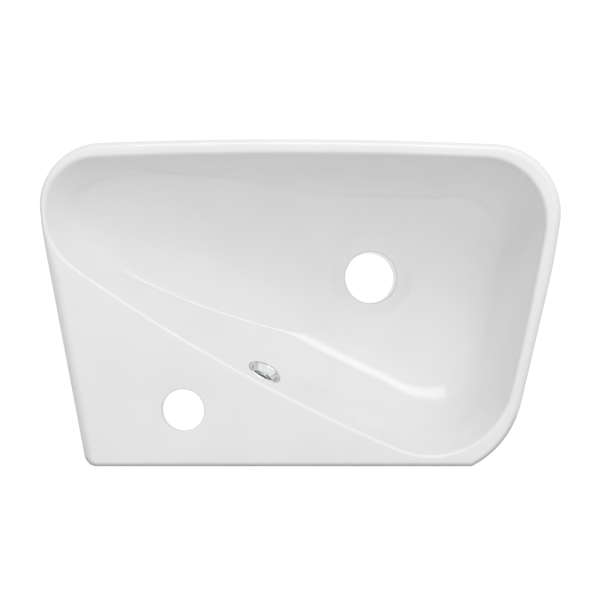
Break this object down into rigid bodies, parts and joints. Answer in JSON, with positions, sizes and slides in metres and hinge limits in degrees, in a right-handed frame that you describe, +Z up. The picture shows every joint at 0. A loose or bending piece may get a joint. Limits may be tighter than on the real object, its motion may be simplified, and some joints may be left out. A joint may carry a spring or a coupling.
{
  "type": "wall-mounted sink",
  "caption": "Lopsided wall-mounted ceramic sink: flat tap deck behind a diagonal ridge, deep offset bowl with a drain bore and an overflow, bushed back-wall fixing holes.",
  "frame": {"origin": "on the wall face, midway between the two wall fixings", "axes": "+Z up, +Y into the wall, +X towards the tap side; the room is on the -Y side"},
  "size_m": [0.4304, 0.2701, 0.13],
  "materials": {
    "china": "gloss",
    "overflow_ring": "polished",
    "fixing_bush": "moulded nylon"
  },
  "bodies": {
    "root": {"basin": "china", "overflow_ring": "overflow_ring", "fixing_bush_left": "fixing_bush", "fixing_bush_right": "fixing_bush"}
  },
  "joints": []
}
